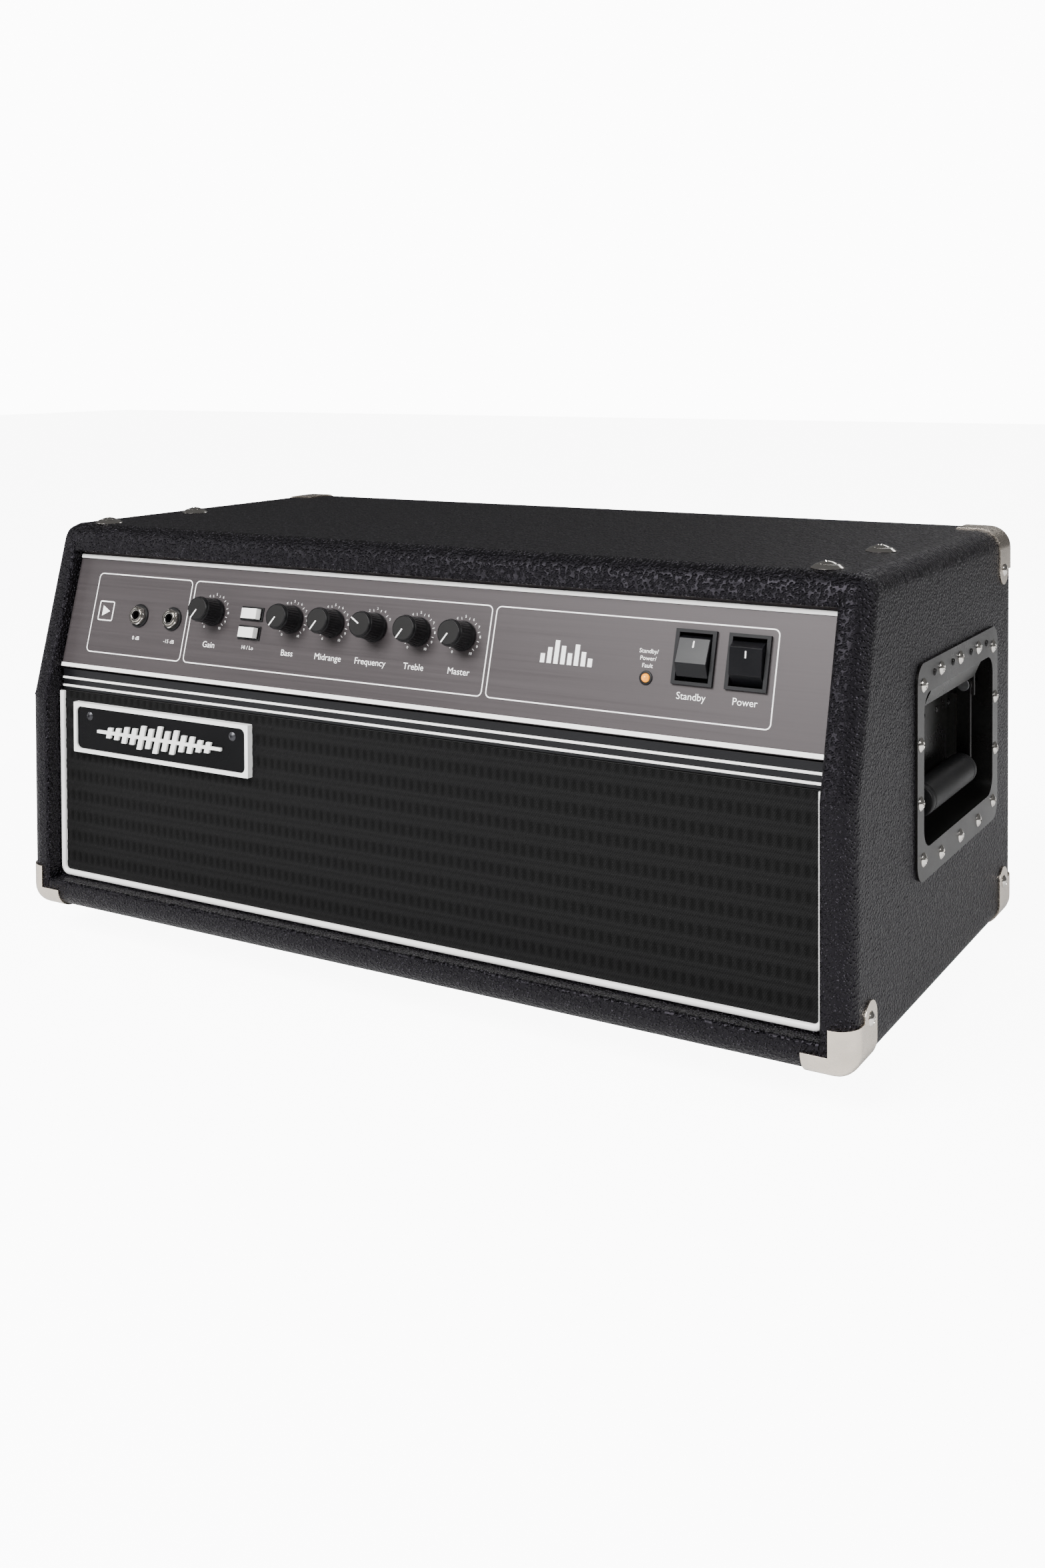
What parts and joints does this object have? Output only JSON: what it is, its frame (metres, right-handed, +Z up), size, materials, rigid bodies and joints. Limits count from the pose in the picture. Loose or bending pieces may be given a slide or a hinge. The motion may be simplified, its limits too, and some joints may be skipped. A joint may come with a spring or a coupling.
{
  "type": "guitar amplifier head",
  "caption": "Valve bass guitar amplifier head: covered wooden cabinet with a leaning control panel, cloth grille, steel side handles, rotary knobs, rocker switches and power section.",
  "frame": {"origin": "middle of the footprint on the surface that the rubber feet stand on", "axes": "+Z up, the control panel faces -Y, +X to the right seen from the front"},
  "size_m": [0.6174, 0.3304, 0.2954],
  "materials": {
    "covering": "black pebble-grain covering cloth glued over plywood",
    "cleat_wood": "bare softwood",
    "grille_wood": "plywood painted black",
    "grille_cloth": "black woven grille cloth with banded weave",
    "piping": "white vinyl piping",
    "trim": "black moulded rail, satin",
    "white_strip": "white plastic strip",
    "panel": "dark warm grey anodised, brushed along its length",
    "badge": "black moulded plate with a white rim",
    "emblem": "white raised emblem",
    "dark_screw": "black oxide",
    "knob": "black moulded knob with a grey cap",
    "control_metal": "plated steel can",
    "nickel": "bright nickel plate",
    "black_plastic": "black moulded plastic",
    "white_plastic": "white moulded plastic",
    "switch_plastic": "black moulded plastic, satin",
    "lamp": "clear amber lens, lit",
    "chassis_steel": "zinc plated sheet steel",
    "guard_nickel": "satin nickel plated pressed steel",
    "dish_paint": "black powder coat",
    "pin_steel": "plain steel",
    "grip_rubber": "black moulded rubber sleeve",
    "foot_rubber": "black rubber",
    "rear_paint": "black powder coat on sheet steel",
    "transformer": "black enamelled laminations and covers",
    "capacitor": "blue sleeved can",
    "valve_base": "glazed ceramic socket",
    "valve_glass": "clear glass with a silver getter"
  },
  "bodies": {
    "cabinet": {"top_board": "covering", "bottom_board": "covering", "left_side_board": "covering", "right_side_board": "covering", "rear_cleats": "cleat_wood", "grille_board": "grille_wood", "grille_cloth": "grille_cloth", "grille_piping": "piping", "trim_rail": "trim", "white_strips": "white_strip", "control_panel": "panel", "badge_plate": "badge", "badge_emblem": "emblem", "badge_screws": "dark_screw", "potentiometers": "control_metal", "rotary_switch": "control_metal", "shaft_nuts": "nickel", "input_jacks": "nickel", "jack_washers": "black_plastic", "jack_nuts": "nickel", "tone_switch_housings": "black_plastic", "power_switch_housings": "switch_plastic", "lamp_lens": "lamp", "lamp_bezel": "black_plastic", "preamp_chassis": "chassis_steel", "chassis_bolts": "nickel", "cup_washers": "nickel", "corner_guards": "guard_nickel", "cabinet_screws": "nickel", "left_dish": "dish_paint", "right_dish": "dish_paint", "hinge_pins": "pin_steel", "feet": "foot_rubber", "foot_screws": "nickel", "rear_panel": "rear_paint", "fan_frame": "black_plastic", "mains_inlet": "black_plastic", "speaker_jacks": "nickel", "power_chassis": "chassis_steel", "power_transformer": "transformer", "output_transformer": "transformer", "filter_capacitors": "capacitor", "valve_sockets": "valve_base", "power_valves": "valve_glass", "preamp_valves": "valve_glass"},
    "gain_knob": {"gain_knob": "knob"},
    "bass_knob": {"bass_knob": "knob"},
    "mid_knob": {"mid_knob": "knob"},
    "frequency_knob": {"frequency_knob": "knob"},
    "treble_knob": {"treble_knob": "knob"},
    "master_knob": {"master_knob": "knob"},
    "upper_tone_rocker": {"upper_tone_rocker": "white_plastic"},
    "lower_tone_rocker": {"lower_tone_rocker": "white_plastic"},
    "standby_rocker": {"standby_rocker": "switch_plastic"},
    "power_rocker": {"power_rocker": "switch_plastic"},
    "left_handle": {"left_bail": "dish_paint", "left_grip": "grip_rubber"},
    "right_handle": {"right_bail": "dish_paint", "right_grip": "grip_rubber"},
    "fan_rotor": {"fan_rotor": "black_plastic"}
  },
  "joints": [
    {"name": "gain_turn", "type": "hinge", "parent": "cabinet", "child": "gain_knob", "pos_m": [-0.155, -0.14143, 0.23902], "axis": [0, 0.9613, -0.2756], "range_deg": [0, 294]},
    {"name": "bass_turn", "type": "hinge", "parent": "cabinet", "child": "bass_knob", "pos_m": [-0.0882, -0.14143, 0.23902], "axis": [0, 0.9613, -0.2756], "range_deg": [0, 294]},
    {"name": "mid_turn", "type": "hinge", "parent": "cabinet", "child": "mid_knob", "pos_m": [-0.0548, -0.14143, 0.23902], "axis": [0, 0.9613, -0.2756], "range_deg": [0, 294]},
    {"name": "frequency_turn", "type": "hinge", "parent": "cabinet", "child": "frequency_knob", "pos_m": [-0.0214, -0.14143, 0.23902], "axis": [0, 0.9613, -0.2756], "range_deg": [0, 120]},
    {"name": "treble_turn", "type": "hinge", "parent": "cabinet", "child": "treble_knob", "pos_m": [0.012, -0.14143, 0.23902], "axis": [0, 0.9613, -0.2756], "range_deg": [0, 294]},
    {"name": "master_turn", "type": "hinge", "parent": "cabinet", "child": "master_knob", "pos_m": [0.0454, -0.14143, 0.23902], "axis": [0, 0.9613, -0.2756], "range_deg": [0, 294]},
    {"name": "upper_tone_rock", "type": "hinge", "parent": "cabinet", "child": "upper_tone_rocker", "pos_m": [-0.1216, -0.13431, 0.23844], "axis": [0, 0.2756, 0.9613], "range_deg": [0, 20]},
    {"name": "lower_tone_rock", "type": "hinge", "parent": "cabinet", "child": "lower_tone_rocker", "pos_m": [-0.1216, -0.13779, 0.22632], "axis": [0, 0.2756, 0.9613], "range_deg": [0, 20]},
    {"name": "standby_rock", "type": "hinge", "parent": "cabinet", "child": "standby_rocker", "pos_m": [0.202, -0.13269, 0.23683], "axis": [1, 0, 0], "range_deg": [0, 20]},
    {"name": "power_rock", "type": "hinge", "parent": "cabinet", "child": "power_rocker", "pos_m": [0.235, -0.13269, 0.23683], "axis": [1, 0, 0], "range_deg": [-20, 0]},
    {"name": "left_handle_swing", "type": "hinge", "parent": "cabinet", "child": "left_handle", "pos_m": [-0.294, 0.031, 0.194], "axis": [0, 1, 0], "range_deg": [0, 90]},
    {"name": "right_handle_swing", "type": "hinge", "parent": "cabinet", "child": "right_handle", "pos_m": [0.294, 0.031, 0.194], "axis": [0, -1, 0], "range_deg": [0, 90]},
    {"name": "fan_spin", "type": "hinge", "parent": "cabinet", "child": "fan_rotor", "pos_m": [-0.225, 0.14, 0.169], "axis": [0, 1, 0], "continuous": true}
  ]
}
